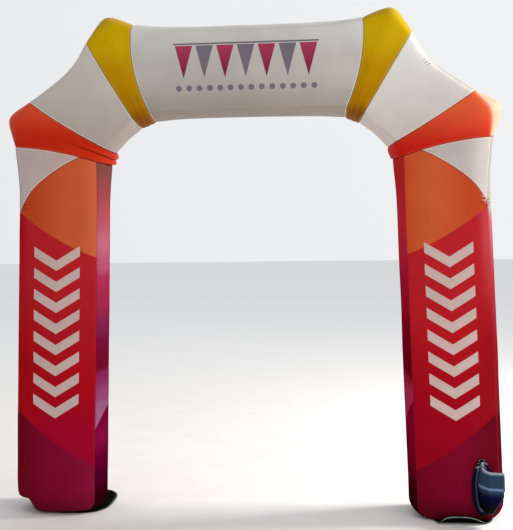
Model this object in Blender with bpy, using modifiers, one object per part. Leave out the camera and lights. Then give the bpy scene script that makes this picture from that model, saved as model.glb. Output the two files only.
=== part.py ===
"""Inflatable arch: two legs, four elbows, two slanted runs and a beam, sewn from coated cloth.

Metres, +Z up.  The arch stands across X with its front towards -Y, on two ground pads.
Each run is a tube of four cloth panels (front, back, outer and inner) that meet in corner
seams.  The panels are blown out between their seams and thickened outwards, so that
neighbours stay a thread's width apart along every seam.
"""
import math
from collections import namedtuple

import bmesh
import bpy
from mathutils import Vector

# Cloth and seams
CLOTH = 0.002             # thickness of a panel
SEAM = 0.00018            # each panel's step back from a seam that bends outwards
CROSS_SEAM = 0.00036      # the same, at a seam across the front or back
HOLLOW_SEAM = 0.00085     # the same, across the inner and outer sides, where the bend is hollow
CLEARANCE = 0.0003        # between pieces that lie on each other

# Cross sections of one half of the arch, from the floor to the middle of the beam.
# outer and inner are the corner seams as seen from the front.  half_depth is their distance
# from the middle plane, crown is how far a panel is blown out, and bow is how far the line
# across the front and back runs ahead of the straight line between its ends.
Section = namedtuple(
    "Section",
    "outer_x outer_z inner_x inner_z half_depth crown_outer crown_inner crown_face bow",
)
LEG = (
    Section(1.925, 0.000, 1.292, 0.000, 0.230, 0.050, 0.050, 0.060, 0.000),
    Section(1.893, 1.300, 1.256, 1.300, 0.228, 0.048, 0.049, 0.056, 0.000),
    Section(1.870, 2.200, 1.234, 2.160, 0.228, 0.046, 0.048, 0.055, 0.000),
    Section(1.860, 2.640, 1.225, 2.560, 0.231, 0.044, 0.052, 0.056, 0.006),
    Section(1.889, 2.987, 1.222, 2.852, 0.240, 0.045, 0.074, 0.058, 0.022),
)
LOWER_ELBOW = (
    LEG[-1],
    Section(1.882, 3.188, 1.196, 2.904, 0.246, 0.122, 0.078, 0.066, 0.000),
    Section(1.772, 3.345, 1.166, 2.966, 0.240, 0.036, 0.062, 0.056, -0.010),
)
SLANT = (
    LOWER_ELBOW[-1],
    Section(1.502, 3.540, 1.046, 3.080, 0.228, 0.036, 0.052, 0.050, 0.000),
    Section(1.384, 3.669, 0.983, 3.138, 0.233, 0.031, 0.058, 0.052, 0.000),
    Section(1.295, 3.817, 0.922, 3.196, 0.240, 0.030, 0.066, 0.056, 0.000),
)
UPPER_ELBOW = (
    SLANT[-1],
    Section(1.135, 3.962, 0.861, 3.232, 0.246, 0.086, 0.078, 0.066, 0.000),
    Section(0.925, 3.932, 0.792, 3.252, 0.240, 0.043, 0.068, 0.056, -0.042),
)
HALF_BEAM = (
    UPPER_ELBOW[-1],
    Section(0.690, 3.898, 0.600, 3.255, 0.230, 0.056, 0.056, 0.056, -0.018),
    Section(0.350, 3.886, 0.330, 3.255, 0.228, 0.060, 0.050, 0.058, 0.000),
    Section(0.000, 3.884, 0.000, 3.255, 0.228, 0.060, 0.050, 0.060, 0.000),
)
MITRE_SHARPNESS = 3.0     # weight of an elbow's point: 1 is a round bend, more is sharper

# White corner pieces in the tops of the legs
CORNER_FOOT = 0.824       # where a corner piece ends on the outer seam, as a share of the leg
CORNER_REACH = 0.80       # its reach across the front, as a share of the width
CORNER_STRAIGHT = 0.78    # share of its lower edge's drop that is an even slope
CORNER_BEND = 8.0         # the rest comes near the outer seam: more is nearer

# Feet
PAD_THICKNESS = 0.003
PAD_HALF_LENGTH = 0.275
PAD_HALF_DEPTH = 0.375
PAD_SPOTS = {"right": (1.600, 0.0), "left": (-1.480, 0.180)}      # not quite under the legs
PAD_SQUARENESS = 2.9      # 2 is an ellipse, more is squarer
PAD_POINTS = 36
FOOT_RADIUS = 0.120       # the panels curl in under the foot, from this height down
FOOT_DRAW = {"right": 0.030, "left": 0.120}       # the front's and back's own reach inwards
LEG_FLOOR = PAD_THICKNESS + CLEARANCE + CLOTH

# Air sleeve in front of the right leg: flattened hoops along it, from the leg's front panel to
# the straight outer end.  turn is each hoop's heading in degrees, from straight ahead towards
# +X; high and deep are half its height and half its width.
Hoop = namedtuple("Hoop", "x y z turn high deep")
NECK = (
    Hoop(1.779, -0.270, 0.275, 0.0, 0.160, 0.034),
    Hoop(1.779, -0.312, 0.275, 0.0, 0.160, 0.034),
    Hoop(1.787, -0.352, 0.267, 38.0, 0.160, 0.054),
    Hoop(1.822, -0.390, 0.258, 80.0, 0.160, 0.088),
)
SLEEVE_SEAT = 0.0005                          # off the smooth curve of the faceted panel
SLEEVE_LENGTH = 0.108                         # of the straight end, along its top
SLEEVE_CUT = 0.80                             # share by which the hem's lowest point is cut back
SLEEVE_SIDES = 24

# Collar: an oval ring around the sleeve's neck that lies on the leg's front panel
COLLAR_SEAT = 0.0008
COLLAR_HIGH = 0.220
COLLAR_DEEP = 0.080
COLLAR_THICKNESS = 0.020
COLLAR_CORNERS = 8

# Spacing of the rows of each panel, as shares of its length
CURL_ROWS = (0.0, 0.34, 0.67, 1.0)            # the foot's curl, as shares of a quarter turn
LEG_ROWS = (0.15, 0.36, 0.57, 0.75, 0.86, 0.94, 1.0)
CORNER_ROWS = (0.0, 0.35, 0.68, 1.0)
ELBOW_ROWS = (0.0, 0.28, 0.42, 0.5, 0.58, 0.72, 1.0)
SLANT_ROWS = (0.0, 0.20, 0.44, 0.66, 0.84, 1.0)
BEAM_ROWS = (0.0, 0.07, 0.16, 0.30, 0.5, 0.70, 0.84, 0.93, 1.0)
CORNER_COLUMNS = (0.0, 0.07, 0.21, 0.40, 0.60, 0.775)
FACE_COLUMNS = CORNER_COLUMNS + (0.88, 1.0)
SIDE_COLUMNS = (0.0, 0.22, 0.5, 0.78, 1.0)


def colour(red, green, blue):
    """Linear colour from 0-255 screen values."""
    def linear(value):
        share = value / 255.0
        return share / 12.92 if share <= 0.04045 else ((share + 0.055) / 1.055) ** 2.4
    return (linear(red), linear(green), linear(blue), 1.0)


def cloth_material(name, base, roughness):
    """Coated cloth of one colour."""
    material = bpy.data.materials.new(name)
    material.use_nodes = True
    shader = material.node_tree.nodes["Principled BSDF"]
    shader.inputs["Base Color"].default_value = base
    shader.inputs["Roughness"].default_value = roughness
    shader.inputs["Metallic"].default_value = 0.0
    material.diffuse_color = base
    return material


# ---------------------------------------------------------------- sections

def mix(first, second, share):
    """Section a share of the way from one section to the next."""
    return Section(*(a + (b - a) * share for a, b in zip(first, second)))


def middle(section):
    return Vector((section.outer_x + section.inner_x, section.outer_z + section.inner_z)) / 2


def smooth_section(rows, share):
    """Section at a share of a straight run's length, on a smooth curve through its rows."""
    marks = [0.0]
    for before, after in zip(rows, rows[1:]):
        marks.append(marks[-1] + (middle(after) - middle(before)).length)
    place = share * marks[-1]
    last = len(rows) - 1
    span = next(i for i in range(last) if place <= marks[i + 1] or i == last - 1)
    width = marks[span + 1] - marks[span]
    step = (place - marks[span]) / width

    def slope(index, column):
        low = max(index - 1, 0)
        high = min(index + 1, last)
        return (rows[high][column] - rows[low][column]) / (marks[high] - marks[low])

    values = []
    for column in range(len(rows[0])):
        start = rows[span][column]
        end = rows[span + 1][column]
        lift = (2 * step**3 - 3 * step**2 + 1) * start + (3 * step**2 - 2 * step**3) * end
        lean = (step**3 - 2 * step**2 + step) * slope(span, column)
        lean += (step**3 - step**2) * slope(span + 1, column)
        values.append(lift + lean * width)
    return Section(*values)


def elbow_section(rows, share):
    """Section of an elbow: its outer edge runs to a slightly rounded point at the mitre."""
    start, point, end = rows
    pull = 2.0 * MITRE_SHARPNESS
    ease = (1 - share) ** 2 + pull * share * (1 - share) + share**2

    def rounded(column):
        control = ((2 + pull) * point[column] - start[column] - end[column]) / pull
        total = (1 - share) ** 2 * start[column] + share**2 * end[column]
        return (total + pull * share * (1 - share) * control) / ease

    if share < 0.5:
        flat = mix(start, point, 2 * share)
    else:
        flat = mix(point, end, 2 * share - 1)
    return flat._replace(
        outer_x=rounded(0), outer_z=rounded(1), crown_outer=rounded(5), crown_face=rounded(7))


def curled_section(section, turn, draw):
    """Floor end of a leg, drawn in where the cloth curls under the foot."""
    inset = FOOT_RADIUS * (1 - math.sin(turn))
    height = LEG_FLOOR + FOOT_RADIUS * (1 - math.cos(turn))
    return section._replace(
        outer_x=section.outer_x - inset, outer_z=height,
        inner_x=section.inner_x + inset, inner_z=height,
        half_depth=section.half_depth - draw * (1 - math.sin(turn)))


def leg_section(share):
    """Section of a leg above its curl, at a share of the height that is left."""
    bottom = FOOT_RADIUS + LEG_FLOOR
    start = bottom / middle(LEG[-1]).y
    return smooth_section(LEG, start + share * (1 - start))


# ---------------------------------------------------------------- points on the panels

def face_point(section, across, side):
    """Point on the front (side -1) or back (side 1) at a share from the outer seam inwards."""
    outer = Vector((section.outer_x, section.outer_z))
    inner = Vector((section.inner_x, section.inner_z))
    swell = 4 * across * (1 - across)
    inward = (inner - outer).normalized()
    ahead = Vector((inward.y, -inward.x))
    spot = outer.lerp(inner, across) + ahead * section.bow * swell
    return Vector((spot.x, side * (section.half_depth + section.crown_face * swell), spot.y))


def rim_point(section, across, outward):
    """Point on the outer or inner panel at a share of the depth from front to back."""
    outer = Vector((section.outer_x, section.outer_z))
    inner = Vector((section.inner_x, section.inner_z))
    swell = 4 * across * (1 - across)
    away = (outer - inner).normalized()
    if outward:
        spot = outer + away * section.crown_outer * swell
    else:
        spot = inner - away * section.crown_inner * swell
    return Vector((spot.x, section.half_depth * (2 * across - 1), spot.y))


def pull_back(points, distances):
    """Move the four edges of a grid of points inwards, each by its own distance."""
    left, right, bottom, top = distances

    def towards(point, target, distance):
        return point + (target - point).normalized() * distance

    for column in points:
        column[0] = towards(column[0], column[1], bottom)
        column[-1] = towards(column[-1], column[-2], top)
    rows = len(points[0])
    points[0] = [towards(points[0][i], points[1][i], left) for i in range(rows)]
    points[-1] = [towards(points[-1][i], points[-2][i], right) for i in range(rows)]


def sheet(name, points, distances, outside, mirrored, material):
    """Cloth panel over a grid of points, thickened away from the inside of the tube."""
    pull_back(points, distances)
    columns = len(points) - 1
    rows = len(points[0]) - 1
    grid = bmesh.new()
    bmesh.ops.create_grid(grid, x_segments=columns, y_segments=rows, size=0.5)
    for corner in grid.verts:
        column = round((corner.co.x + 0.5) * columns)
        row = round((corner.co.y + 0.5) * rows)
        corner.co = points[column][row]
        if mirrored:
            corner.co.x = -corner.co.x
    facing = outside.copy()
    if mirrored:
        facing.x = -facing.x
    grid.normal_update()
    total = sum((face.normal for face in grid.faces), Vector())
    if total.dot(facing) < 0:
        bmesh.ops.reverse_faces(grid, faces=grid.faces)
    mesh = bpy.data.meshes.new(name)
    grid.to_mesh(mesh)
    grid.free()
    panel = add_object(name, mesh, material)
    shell = panel.modifiers.new("cloth", "SOLIDIFY")
    shell.thickness = CLOTH
    shell.offset = 1.0
    shell.use_even_offset = True
    return panel


def add_object(name, mesh, material):
    """Object of the arch, smooth shaded, with one material."""
    mesh.materials.append(material)
    for face in mesh.polygons:
        face.use_smooth = True
    thing = bpy.data.objects.new(name, mesh)
    arch.objects.link(thing)
    return thing


# ---------------------------------------------------------------- runs of the arch

def run_panels(name, section_at, rows, mirrored, material, ends=(CROSS_SEAM, CROSS_SEAM)):
    """Four panels of one run between two seams that go across the tube."""
    sections = [section_at(share) for share in rows]
    half = sections[len(sections) // 2]
    away = Vector((half.outer_x - half.inner_x, 0.0, half.outer_z - half.inner_z))
    edges = (SEAM, SEAM, *ends)
    hollow = (SEAM, SEAM, HOLLOW_SEAM, HOLLOW_SEAM)
    for label, side in (("front", -1), ("back", 1)):
        points = [[face_point(s, u, side) for s in sections] for u in FACE_COLUMNS]
        sheet(f"{name}_{label}", points, edges, Vector((0, side, 0)), mirrored, material)
    points = [[rim_point(s, u, True) for s in sections] for u in SIDE_COLUMNS]
    sheet(f"{name}_outer", points, hollow, away, mirrored, material)
    points = [[rim_point(s, u, False) for s in sections] for u in SIDE_COLUMNS]
    sheet(f"{name}_inner", points, hollow, -away, mirrored, material)


def corner_foot_at(across):
    """Share of the leg at which the corner piece's lower edge lies."""
    left = max(0.0, 1 - across / CORNER_REACH)
    drop = CORNER_STRAIGHT * left + (1 - CORNER_STRAIGHT) * left**CORNER_BEND
    return 1 - (1 - CORNER_FOOT) * drop


def build_leg(side_name, mirrored):
    """Leg: four panels and the two white corner pieces let into the front and back."""
    name = f"leg_{side_name}"
    foot = leg_section(0.0)
    draw = FOOT_DRAW[side_name]
    curl = [curled_section(foot, share * math.pi / 2, draw) for share in CURL_ROWS]

    def column_of(point_at, top):
        """Points up one line of the leg, from the curl to a share of the leg's height."""
        low = [point_at(section) for section in curl]
        return low + [point_at(leg_section(share * top)) for share in LEG_ROWS]

    for label, side in (("front", -1), ("back", 1)):
        points = []
        for across in FACE_COLUMNS:
            def at(section, across=across, side=side):
                return face_point(section, across, side)
            points.append(column_of(at, corner_foot_at(across)))
        facing = Vector((0, side, 0))
        sheet(f"{name}_{label}", points, (SEAM, SEAM, 0.0, CROSS_SEAM), facing, mirrored,
              leg_cloth)

        points = []
        for across in CORNER_COLUMNS:
            start = corner_foot_at(across)
            shares = [start + share * (1 - start) for share in CORNER_ROWS]
            points.append([face_point(leg_section(share), across, side) for share in shares])
        sheet(f"{name}_corner_{label}", points, (SEAM, 0.0, 2 * CROSS_SEAM, CROSS_SEAM),
              facing, mirrored, white_cloth)

    points = []
    for across in SIDE_COLUMNS:
        def outer_at(section, across=across):
            return rim_point(section, across, True)
        column = column_of(outer_at, CORNER_FOOT)
        for share in CORNER_ROWS[1:]:
            column.append(outer_at(leg_section(CORNER_FOOT + share * (1 - CORNER_FOOT))))
        points.append(column)
    sheet(f"{name}_outer", points, (SEAM, SEAM, 0.0, HOLLOW_SEAM), Vector((1, 0, 0)), mirrored,
          leg_cloth)

    points = []
    for across in SIDE_COLUMNS:
        def inner_at(section, across=across):
            return rim_point(section, across, False)
        points.append(column_of(inner_at, 1.0))
    sheet(f"{name}_inner", points, (SEAM, SEAM, 0.0, HOLLOW_SEAM), Vector((-1, 0, 0)),
          mirrored, leg_cloth)


def build_beam():
    """Top beam, sewn from whole panels that reach from elbow to elbow."""
    other_half = [s._replace(outer_x=-s.outer_x, inner_x=-s.inner_x, bow=-s.bow)
                  for s in reversed(HALF_BEAM[:-1])]
    rows = HALF_BEAM + tuple(other_half)
    run_panels("beam", lambda share: smooth_section(rows, share), BEAM_ROWS, False,
               white_cloth)


def build_pad(side_name):
    """Ground pad: a flat black sheet with well rounded corners under one leg."""
    outline = bpy.data.curves.new(f"pad_{side_name}_outline", "CURVE")
    outline.dimensions = "2D"
    outline.fill_mode = "BOTH"
    outline.extrude = PAD_THICKNESS / 2
    edge = outline.splines.new("POLY")
    edge.points.add(PAD_POINTS - 1)
    edge.use_cyclic_u = True
    power = 2 / PAD_SQUARENESS
    for index, point in enumerate(edge.points):
        turn = 2 * math.pi * index / PAD_POINTS
        along = math.copysign(abs(math.cos(turn)) ** power, math.cos(turn))
        deep = math.copysign(abs(math.sin(turn)) ** power, math.sin(turn))
        point.co = (PAD_HALF_LENGTH * along, PAD_HALF_DEPTH * deep, 0.0, 1.0)
    outline.materials.append(pad_cloth)
    pad = bpy.data.objects.new(f"pad_{side_name}", outline)
    pad.location = (*PAD_SPOTS[side_name], PAD_THICKNESS / 2)
    arch.objects.link(pad)


# ---------------------------------------------------------------- air sleeve

def leg_front_depth(x, height):
    """Depth of the right leg's front panel at a place."""
    share = (height - FOOT_RADIUS - LEG_FLOOR) / (middle(LEG[-1]).y - FOOT_RADIUS - LEG_FLOOR)
    section = leg_section(share)
    across = (section.outer_x - x) / (section.outer_x - section.inner_x)
    return face_point(section, across, -1).y - CLOTH


def hoop_points(hoop):
    """Centre, direction and points of a hoop, starting at its top."""
    angle = math.radians(hoop.turn)
    ahead = Vector((math.sin(angle), -math.cos(angle), 0.0))
    beside = ahead.cross(Vector((0, 0, 1)))
    centre = Vector((hoop.x, hoop.y, hoop.z))
    points = []
    for index in range(SLEEVE_SIDES):
        turn = 2 * math.pi * index / SLEEVE_SIDES
        across = beside * hoop.deep * math.sin(turn)
        points.append(centre + across + Vector((0, 0, hoop.high * math.cos(turn))))
    return centre, ahead, points


def add_loops(name, rings, closed):
    """Navy object skinned over rings of points, which close on themselves or end open."""
    count = len(rings[0])
    skin = bmesh.new()
    loops = [[skin.verts.new(point) for point in ring] for ring in rings]
    pairs = list(zip(loops, loops[1:]))
    if closed:
        pairs.append((loops[-1], loops[0]))
    for near, far in pairs:
        for i in range(count):
            after = (i + 1) % count
            skin.faces.new((near[i], near[after], far[after], far[i]))
    bmesh.ops.recalc_face_normals(skin, faces=skin.faces)
    mesh = bpy.data.meshes.new(name)
    skin.to_mesh(mesh)
    skin.free()
    return add_object(name, mesh, navy_cloth)


def build_sleeve():
    """Navy air sleeve: a flat neck that bends aside and widens to a straight, open end."""
    rings = [hoop_points(hoop)[2] for hoop in NECK]
    centre, ahead, last_ring = hoop_points(NECK[-1])
    for share in (0.35, 0.7, 1.0):
        ring = []
        for point in last_ring:
            below = max(0.0, centre.z - point.z) / NECK[-1].high
            reach = SLEEVE_LENGTH * share * (1 - SLEEVE_CUT * below)
            ring.append(point + ahead * reach)
        rings.append(ring)
    for point in rings[0]:
        point.y = leg_front_depth(point.x, point.z) - SLEEVE_SEAT
    sleeve = add_loops("sleeve", rings, closed=False)
    shell = sleeve.modifiers.new("cloth", "SOLIDIFY")
    shell.thickness = CLOTH
    shell.offset = -1.0
    shell.use_even_offset = True


def build_collar():
    """Stitched oval collar around the sleeve's neck."""
    neck = NECK[0]
    inner_deep = neck.deep + CLEARANCE
    inner_high = neck.high + CLEARANCE
    rings = []
    for index in range(SLEEVE_SIDES):
        turn = 2 * math.pi * index / SLEEVE_SIDES
        ring = []
        for corner in range(COLLAR_CORNERS):
            lean = 2 * math.pi * corner / COLLAR_CORNERS
            reach = (1 - math.cos(lean)) / 2
            x = neck.x - (inner_deep + (COLLAR_DEEP - inner_deep) * reach) * math.sin(turn)
            z = neck.z + (inner_high + (COLLAR_HIGH - inner_high) * reach) * math.cos(turn)
            y = leg_front_depth(x, z) - COLLAR_SEAT - COLLAR_THICKNESS * (1 + math.sin(lean)) / 2
            ring.append(Vector((x, y, z)))
        rings.append(ring)
    add_loops("sleeve_collar", rings, closed=True)


def stand_on_origin():
    """Parent every piece to an empty that puts the middle of the whole box on the origin."""
    bpy.context.view_layer.update()
    graph = bpy.context.evaluated_depsgraph_get()
    corners = []
    for piece in arch.objects:
        shown = piece.evaluated_get(graph)
        corners += [shown.matrix_world @ corner.co for corner in shown.to_mesh().vertices]
    centre = [(min(c[axis] for c in corners) + max(c[axis] for c in corners)) / 2
              for axis in range(2)]
    stand = bpy.data.objects.new("arch_stand", None)
    stand.location = (-centre[0], -centre[1], 0.0)
    for piece in list(arch.objects):
        piece.parent = stand
    arch.objects.link(stand)


# ---------------------------------------------------------------- the arch

for thing in list(bpy.data.objects):
    bpy.data.objects.remove(thing, do_unlink=True)

arch = bpy.data.collections.new("inflatable_arch")
bpy.context.scene.collection.children.link(arch)

white_cloth = cloth_material("white_cloth", colour(205, 203, 198), 0.55)
leg_cloth = cloth_material("red_cloth", colour(176, 40, 42), 0.55)
orange_cloth = cloth_material("orange_cloth", colour(214, 62, 34), 0.50)
yellow_cloth = cloth_material("yellow_cloth", colour(206, 168, 16), 0.50)
navy_cloth = cloth_material("navy_cloth", colour(38, 48, 76), 0.60)
pad_cloth = cloth_material("black_cloth", colour(22, 24, 22), 0.70)

for side_name, direction in (("right", 1), ("left", -1)):
    mirrored = direction < 0
    build_leg(side_name, mirrored)
    run_panels(f"lower_elbow_{side_name}", lambda share: elbow_section(LOWER_ELBOW, share),
               ELBOW_ROWS, mirrored, orange_cloth)
    run_panels(f"slant_{side_name}", lambda share: smooth_section(SLANT, share), SLANT_ROWS,
               mirrored, white_cloth)
    run_panels(f"upper_elbow_{side_name}", lambda share: elbow_section(UPPER_ELBOW, share),
               ELBOW_ROWS, mirrored, yellow_cloth)
    build_pad(side_name)
build_beam()
build_sleeve()
build_collar()
stand_on_origin()
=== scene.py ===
"""Looks of the inflatable arch: fine cloth panels, their finish, the floor, light and camera.

Metres, +Z up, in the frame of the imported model.  Each panel, pad, sleeve and collar is a fine
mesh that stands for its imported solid.  Their sizes repeat the ones that the solids were made
from.  Those are measured from the middle of the arch, which ARCH_MIDDLE places in the frame.
"""

import math
from collections import namedtuple

import bmesh
import bpy
import numpy as np
from mathutils import Matrix, Vector


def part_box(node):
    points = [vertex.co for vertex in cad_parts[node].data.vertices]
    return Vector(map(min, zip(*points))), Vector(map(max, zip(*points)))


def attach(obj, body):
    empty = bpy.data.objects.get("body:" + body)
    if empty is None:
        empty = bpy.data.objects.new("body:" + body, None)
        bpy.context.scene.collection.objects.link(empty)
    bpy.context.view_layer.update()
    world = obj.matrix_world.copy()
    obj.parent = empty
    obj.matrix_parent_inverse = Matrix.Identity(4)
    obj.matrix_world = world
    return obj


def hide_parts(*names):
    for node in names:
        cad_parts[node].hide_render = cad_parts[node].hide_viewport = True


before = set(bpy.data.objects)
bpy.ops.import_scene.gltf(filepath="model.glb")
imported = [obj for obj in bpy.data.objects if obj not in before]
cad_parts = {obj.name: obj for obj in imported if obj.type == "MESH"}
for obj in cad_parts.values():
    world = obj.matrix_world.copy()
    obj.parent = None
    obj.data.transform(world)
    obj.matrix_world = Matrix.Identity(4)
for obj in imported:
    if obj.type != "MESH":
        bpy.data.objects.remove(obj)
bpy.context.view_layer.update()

# ---------------------------------------------------------------- sizes of the arch

Section = namedtuple(
    "Section",
    "outer_x outer_z inner_x inner_z half_depth crown_outer crown_inner crown_face bow",
)
LEG = (
    Section(1.925, 0.000, 1.292, 0.000, 0.230, 0.050, 0.050, 0.060, 0.000),
    Section(1.893, 1.300, 1.256, 1.300, 0.228, 0.048, 0.049, 0.056, 0.000),
    Section(1.870, 2.200, 1.234, 2.160, 0.228, 0.046, 0.048, 0.055, 0.000),
    Section(1.860, 2.640, 1.225, 2.560, 0.231, 0.044, 0.052, 0.056, 0.006),
    Section(1.889, 2.987, 1.222, 2.852, 0.240, 0.045, 0.074, 0.058, 0.022),
)
LOWER_ELBOW = (
    LEG[-1],
    Section(1.882, 3.188, 1.196, 2.904, 0.246, 0.122, 0.078, 0.066, 0.000),
    Section(1.772, 3.345, 1.166, 2.966, 0.240, 0.036, 0.062, 0.056, -0.010),
)
SLANT = (
    LOWER_ELBOW[-1],
    Section(1.502, 3.540, 1.046, 3.080, 0.228, 0.036, 0.052, 0.050, 0.000),
    Section(1.384, 3.669, 0.983, 3.138, 0.233, 0.031, 0.058, 0.052, 0.000),
    Section(1.295, 3.817, 0.922, 3.196, 0.240, 0.030, 0.066, 0.056, 0.000),
)
UPPER_ELBOW = (
    SLANT[-1],
    Section(1.135, 3.962, 0.861, 3.232, 0.246, 0.086, 0.078, 0.066, 0.000),
    Section(0.925, 3.932, 0.792, 3.252, 0.240, 0.043, 0.068, 0.056, -0.042),
)
HALF_BEAM = (
    UPPER_ELBOW[-1],
    Section(0.690, 3.898, 0.600, 3.255, 0.230, 0.056, 0.056, 0.056, -0.018),
    Section(0.350, 3.886, 0.330, 3.255, 0.228, 0.060, 0.050, 0.058, 0.000),
    Section(0.000, 3.884, 0.000, 3.255, 0.228, 0.060, 0.050, 0.060, 0.000),
)
CLOTH = 0.002
MITRE_SHARPNESS = 3.0
CORNER_FOOT = 0.824
CORNER_REACH = 0.80
CORNER_STRAIGHT = 0.78
CORNER_BEND = 8.0
PAD_THICKNESS = 0.003
PAD_HALF_LENGTH = 0.275
PAD_HALF_DEPTH = 0.375
PAD_SPOTS = {"right": (1.600, 0.0), "left": (-1.480, 0.180)}
PAD_SQUARENESS = 2.9
FOOT_RADIUS = 0.120
FOOT_DRAW = {"right": 0.030, "left": 0.120}
HANDS = {"right": 1, "left": -1}         # the left half of the arch is laid out mirrored
LEG_FLOOR = PAD_THICKNESS + 0.0003 + CLOTH

# Flattened hoops along the air sleeve.  turn is a hoop's heading in degrees, from straight
# ahead towards +X; high and deep are half its height and half its width.
Hoop = namedtuple("Hoop", "x y z turn high deep")
NECK = (
    Hoop(1.779, -0.279, 0.275, 0.0, 0.160, 0.034),
    Hoop(1.779, -0.312, 0.275, 0.0, 0.160, 0.034),
    Hoop(1.787, -0.352, 0.267, 38.0, 0.160, 0.054),
    Hoop(1.822, -0.390, 0.258, 80.0, 0.160, 0.088),
)
SLEEVE_LENGTH = 0.108
SLEEVE_CUT = 0.80
COLLAR_HIGH = 0.220
COLLAR_DEEP = 0.080
COLLAR_THICKNESS = 0.020

beam_low, beam_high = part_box("beam_outer")
ARCH_MIDDLE = Vector(((beam_low.x + beam_high.x) / 2, (beam_low.y + beam_high.y) / 2, 0.0))

# ---------------------------------------------------------------- spacing of the fine meshes

TABLE_ROWS = 500           # sections read from each run's curve
EDGE_STEPS = (0.0, 0.004, 0.009, 0.016, 0.026, 0.040)   # closer lines beside a seam
FACE_COLUMNS = 70
CORNER_COLUMNS = 56        # those of them that cross the corner piece
SIDE_COLUMNS = 46
CURL_ROWS = 14
LEG_ROWS = 250
LEG_FINE_FROM = 0.90       # share of a leg's panel above which its rows are closer
LEG_FINE_ROWS = 76
CORNER_ROWS = 80
CORNER_ROW_LEAN = 1.4      # draws a corner piece's rows towards its tip
ELBOW_ROWS = 72
SLANT_ROWS = 120
BEAM_ROWS = 176


def spaced(count, low=0.0, high=1.0, tight_low=True, tight_high=True):
    """Shares from low to high, evenly spaced but closer together near the tight ends."""
    span = high - low
    inner_low = EDGE_STEPS[-1] if tight_low else 0.0
    inner_high = EDGE_STEPS[-1] if tight_high else 0.0
    middle_part = np.linspace(low + inner_low * span, high - inner_high * span, count)
    start = [low + step * span for step in EDGE_STEPS[:-1]] if tight_low else []
    end = [high - step * span for step in reversed(EDGE_STEPS[:-1])] if tight_high else []
    return np.concatenate([start, middle_part, end])


# The leg's front columns hold the corner piece's columns, so that the two meet point to point.
CORNER_ACROSS = spaced(CORNER_COLUMNS, 0.0, CORNER_REACH, tight_high=False)
FACE_ACROSS = np.concatenate([
    CORNER_ACROSS[:-1],
    spaced(FACE_COLUMNS - CORNER_COLUMNS, CORNER_REACH, 1.0, tight_low=False),
])
SIDE_ACROSS = spaced(SIDE_COLUMNS)


# ---------------------------------------------------------------- sections and points

def middle(section):
    """Middle of a section, seen from the front."""
    return Vector((section.outer_x + section.inner_x, section.outer_z + section.inner_z)) / 2


LEG_TOP = middle(LEG[-1]).y
LEG_START = FOOT_RADIUS + LEG_FLOOR      # a leg's panels stand upright from here


def smooth_curve(rows, marks, slopes, places):
    """Rows of values at places between marks, on smooth curves through the rows at the marks."""
    span = np.clip(np.searchsorted(marks, places, side="right") - 1, 0, len(marks) - 2)
    width = (marks[span + 1] - marks[span])[:, None]
    step = (places - marks[span])[:, None] / width
    lift = rows[span] * (2 * step**3 - 3 * step**2 + 1)
    lift += rows[span + 1] * (3 * step**2 - 2 * step**3)
    lean = slopes[span] * (step**3 - 2 * step**2 + step)
    lean += slopes[span + 1] * (step**3 - step**2)
    return lift + lean * width


def lengths(points, axis=0):
    """Distance along a line of points, or along a grid's lines of one axis, from its start."""
    steps = np.linalg.norm(np.diff(points, axis=axis), axis=-1)
    return np.insert(np.cumsum(steps, axis=axis), 0, 0.0, axis=axis)


def straight_table(rows, low=0.0):
    """Sections of a straight run, evenly spaced from a share of its length to its end."""
    steps = [(middle(after) - middle(before)).length for before, after in zip(rows, rows[1:])]
    marks = np.cumsum([0.0, *steps])
    values = np.array(rows)
    places = np.arange(len(rows))
    before = np.maximum(places - 1, 0)
    after = np.minimum(places + 1, len(rows) - 1)
    slopes = (values[after] - values[before]) / (marks[after] - marks[before])[:, None]
    return smooth_curve(values, marks, slopes, np.linspace(low, 1, TABLE_ROWS) * marks[-1])


def elbow_table(rows):
    """Sections of an elbow: its outer edge runs to a slightly rounded point at the mitre."""
    start, point, end = np.array(rows)
    share = np.linspace(0, 1, TABLE_ROWS)[:, None]
    swell = share * (1 - share)
    even = start + (end - start) * share + 4 * swell * (point - (start + end) / 2)
    pull = 2.0 * MITRE_SHARPNESS
    control = ((2 + pull) * point - start - end) / pull
    ends = (1 - share) ** 2 * start + share**2 * end
    rounded = (ends + pull * swell * control) / ((1 - share) ** 2 + pull * swell + share**2)
    outer = [Section._fields.index(field) for field in ("outer_x", "outer_z", "crown_outer")]
    even[:, outer] = rounded[:, outer]
    return even


def read(table, shares):
    """Sections at an array of shares, each value an array too."""
    marks = np.linspace(0, 1, len(table))
    return Section(*(np.interp(shares, marks, column) for column in table.T))


LEG_TABLE = straight_table(LEG, LEG_START / LEG_TOP)


def leg_sections(places, side_name):
    """Sections of a leg: 0 to 1 is its height above the curl, -1 to 0 the curl below."""
    section = read(LEG_TABLE, np.clip(places, 0, 1))
    turn = (np.clip(places, -1, 0) + 1) * math.pi / 2
    inset = FOOT_RADIUS * (1 - np.sin(turn))
    curled = LEG_FLOOR + FOOT_RADIUS * (1 - np.cos(turn))
    return section._replace(
        outer_x=section.outer_x - inset,
        outer_z=np.where(places < 0, curled, section.outer_z),
        inner_x=section.inner_x + inset,
        inner_z=np.where(places < 0, curled, section.inner_z),
        half_depth=section.half_depth - FOOT_DRAW[side_name] * (1 - np.sin(turn)))


def face_points(section, across, side):
    """Points on the front (side -1) or back (side 1), from the outer seam inwards."""
    swell = 4 * across * (1 - across)
    run_x = section.inner_x - section.outer_x
    run_z = section.inner_z - section.outer_z
    ahead = section.bow * swell / np.hypot(run_x, run_z)
    x = section.outer_x + run_x * across + run_z * ahead
    z = section.outer_z + run_z * across - run_x * ahead
    y = side * (section.half_depth + section.crown_face * swell)
    return np.stack([x, y, z], axis=-1)


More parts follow.
